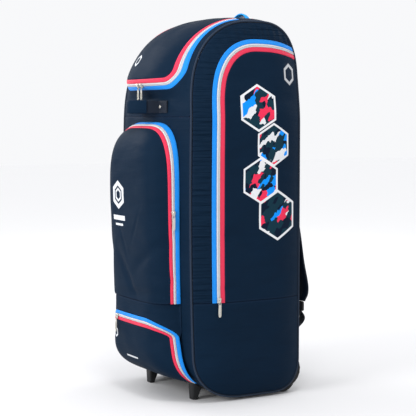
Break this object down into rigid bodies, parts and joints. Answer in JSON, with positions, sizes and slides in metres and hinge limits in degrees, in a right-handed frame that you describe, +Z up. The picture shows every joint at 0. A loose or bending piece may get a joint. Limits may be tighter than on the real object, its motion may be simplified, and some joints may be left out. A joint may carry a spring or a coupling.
{
  "type": "cricket kit bag",
  "caption": "Tall stand-up kit bag on front feet and rear wheels, with a domed top pocket, front and shoe pockets, side openings and padded shoulder straps.",
  "frame": {"origin": "on the ground under the middle of the bag", "axes": "+Z up, +X towards one side panel, -Y towards the front pockets, +Y towards the shoulder straps"},
  "size_m": [0.4166, 0.4758, 0.9651],
  "materials": {
    "navy_cloth": "navy coated woven polyester, satin",
    "stripe_blue": "bright blue woven zip tape",
    "stripe_white": "light grey coil and tape",
    "stripe_red": "coral red woven zip tape",
    "piping_cord": "thin grey blue piping cord",
    "strap_webbing": "dark webbing and padded mesh",
    "black_plastic": "black moulded plastic, fine grain",
    "wheel_rubber": "black wheel with a moulded hub",
    "puller_metal": "silver zip pullers and rivets"
  },
  "bodies": {
    "bag": {"base_pan": "black_plastic", "front_panel": "navy_cloth", "top_panel": "navy_cloth", "back_panel": "navy_cloth", "upper_front_panel": "navy_cloth", "dome_tape_blue": "stripe_blue", "dome_tape_white": "stripe_white", "dome_tape_red": "stripe_red", "dome_panel": "navy_cloth", "front_pocket_tape_blue": "stripe_blue", "front_pocket_tape_white": "stripe_white", "front_pocket_tape_red": "stripe_red", "front_pocket": "navy_cloth", "shoe_pocket_tape_blue": "stripe_blue", "shoe_pocket_tape_white": "stripe_white", "shoe_pocket_tape_red": "stripe_red", "shoe_pocket": "navy_cloth", "shoe_pocket_yoke": "navy_cloth", "surround_left": "navy_cloth", "side_tape_left_blue": "stripe_blue", "side_tape_left_white": "stripe_white", "side_tape_left_red": "stripe_red", "side_flap_left": "navy_cloth", "lower_side_left": "navy_cloth", "piping_left": "piping_cord", "foot_left": "black_plastic", "wheel_housing_left": "black_plastic", "shoulder_strap_left": "strap_webbing", "strap_buckle_left": "black_plastic", "strap_webbing_left": "strap_webbing", "surround_right": "navy_cloth", "side_tape_right_blue": "stripe_blue", "side_tape_right_white": "stripe_white", "side_tape_right_red": "stripe_red", "side_flap_right": "navy_cloth", "lower_side_right": "navy_cloth", "piping_right": "piping_cord", "foot_right": "black_plastic", "wheel_housing_right": "black_plastic", "shoulder_strap_right": "strap_webbing", "strap_buckle_right": "black_plastic", "strap_webbing_right": "strap_webbing", "front_handle": "strap_webbing", "rivet_left": "puller_metal", "rivet_right": "puller_metal", "top_handle_blue": "stripe_blue", "top_handle_white": "stripe_white", "top_handle_red": "stripe_red", "side_puller_left": "puller_metal", "dome_puller_left": "puller_metal", "side_puller_right": "puller_metal", "dome_puller_right": "puller_metal", "front_pocket_puller": "puller_metal", "shoe_pocket_puller": "puller_metal"},
    "left_wheel": {"wheel_left": "wheel_rubber"},
    "right_wheel": {"wheel_right": "wheel_rubber"}
  },
  "joints": [
    {"name": "left_wheel_spin", "type": "hinge", "parent": "bag", "child": "left_wheel", "pos_m": [-0.146, 0.1294, 0.036], "axis": [1, 0, 0], "continuous": true},
    {"name": "right_wheel_spin", "type": "hinge", "parent": "bag", "child": "right_wheel", "pos_m": [0.146, 0.1294, 0.036], "axis": [1, 0, 0], "continuous": true}
  ]
}
